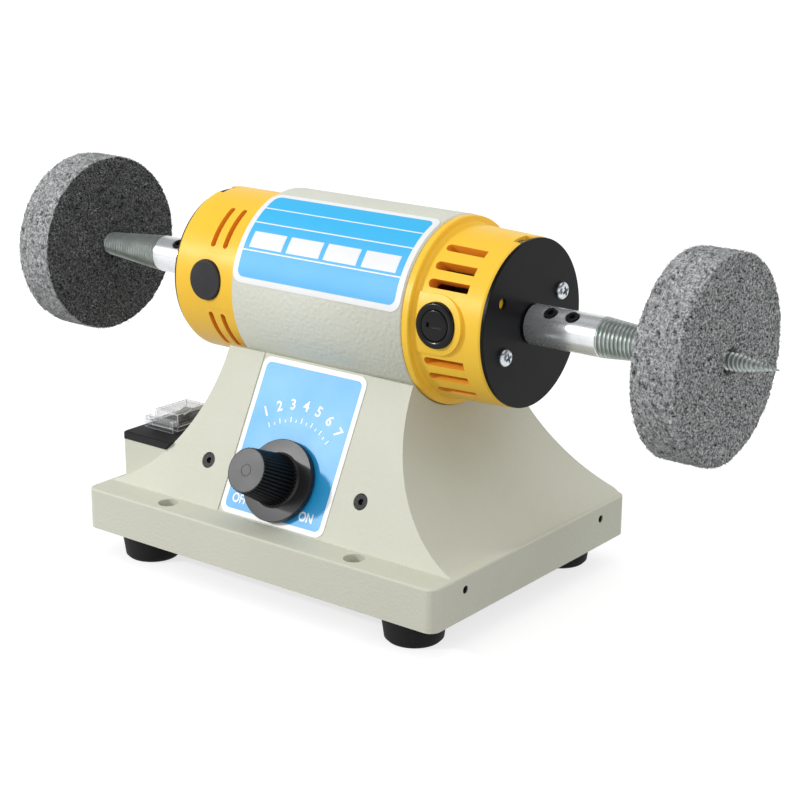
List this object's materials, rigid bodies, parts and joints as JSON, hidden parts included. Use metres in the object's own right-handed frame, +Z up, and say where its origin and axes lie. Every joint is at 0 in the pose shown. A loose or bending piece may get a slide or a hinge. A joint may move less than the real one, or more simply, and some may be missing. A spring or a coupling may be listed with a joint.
{
  "type": "double-ended bench polishing lathe",
  "caption": "Bench polishing lathe: horizontal motor on a splayed cast pedestal, tapered screw spindles, soft wheels, speed knob and covered rocker switch.",
  "frame": {"origin": "centre of the object's footprint at the level of the bench", "axes": "+Z up; X along the motor shaft with the brush end at +X; -Y is the front with the speed knob"},
  "size_m": [0.3746, 0.1429, 0.1552],
  "materials": {
    "cast_cream": "cream powder coat with orange peel",
    "tube_cream": "cream powder coat with orange peel",
    "bell_yellow": "smooth yellow paint",
    "plate_black": "semi-gloss black paint",
    "cover_grey": "plain grey paint",
    "zinc_bright": "bright zinc plate",
    "screw_zinc": "zinc plate",
    "screw_black": "black oxide",
    "shaft_steel": "ground",
    "core_steel": "stacked sheets, varnished",
    "copper": "enamelled copper",
    "brass": "turned",
    "black_plastic": "moulded",
    "gloss_black": "polished moulding",
    "clear_plastic": "clear moulding",
    "rubber_black": "moulded rubber",
    "nonwoven": "grey non-woven abrasive web",
    "label_film": "printed film",
    "carbon": "pressed carbon",
    "board_green": "lacquered board",
    "aluminium": "extruded",
    "fan_plastic": "moulded"
  },
  "bodies": {
    "frame": {"base_casting": "cast_cream", "bottom_cover": "cover_grey", "rubber_feet": "rubber_black", "foot_screws": "screw_zinc", "inlet_grommet": "rubber_black", "motor_body": "tube_cream", "motor_mount_screws": "screw_zinc", "left_end_bell": "bell_yellow", "right_end_bell": "bell_yellow", "bell_plugs": "black_plastic", "left_end_plate": "plate_black", "right_end_plate": "plate_black", "end_plate_screws": "screw_zinc", "through_bolts": "screw_zinc", "stator_core": "core_steel", "field_coils": "copper", "brush_holders": "black_plastic", "brush_caps": "black_plastic", "carbon_brushes": "carbon", "brush_springs": "shaft_steel", "bearing_outer_races": "shaft_steel", "front_panel_label": "label_film", "body_label": "label_film", "front_screws": "screw_black", "board_standoffs": "black_plastic", "control_board": "board_green", "board_screws": "screw_zinc", "board_capacitor": "black_plastic", "board_heatsink": "aluminium", "potentiometer_body": "brass", "potentiometer_nut": "screw_zinc", "switch_plate": "black_plastic", "switch_plate_screws": "screw_black", "switch_body": "black_plastic", "switch_terminals": "brass", "cover_frame": "clear_plastic"},
    "rotor": {"motor_shaft": "shaft_steel", "armature_core": "core_steel", "armature_windings": "copper", "commutator": "copper", "cooling_fan": "fan_plastic", "bearing_inner_races": "shaft_steel", "bearing_balls": "shaft_steel", "left_spindle": "zinc_bright", "right_spindle": "zinc_bright", "spindle_set_screws": "screw_black", "left_wheel": "nonwoven", "right_wheel": "nonwoven"},
    "knob": {"speed_knob": "gloss_black", "potentiometer_shaft": "aluminium"},
    "rocker_key": {"rocker": "gloss_black"},
    "cover": {"flip_cover": "clear_plastic"}
  },
  "joints": [
    {"name": "rotor_spin", "type": "hinge", "parent": "frame", "child": "rotor", "pos_m": [0, 0.0068, 0.115], "axis": [1, 0, 0], "continuous": true},
    {"name": "knob_turn", "type": "hinge", "parent": "frame", "child": "knob", "pos_m": [-0.001, -0.04639, 0.0463], "axis": [0, 0.891, -0.454], "range_deg": [0, 280]},
    {"name": "rocker_tilt", "type": "hinge", "parent": "frame", "child": "rocker_key", "pos_m": [-0.0788, -0.0228, 0.0503], "axis": [-1, 0, 0], "range_deg": [0, 22]},
    {"name": "cover_flip", "type": "hinge", "parent": "frame", "child": "cover", "pos_m": [-0.0788, -0.0354, 0.0537], "axis": [1, 0, 0], "range_deg": [0, 110]}
  ]
}
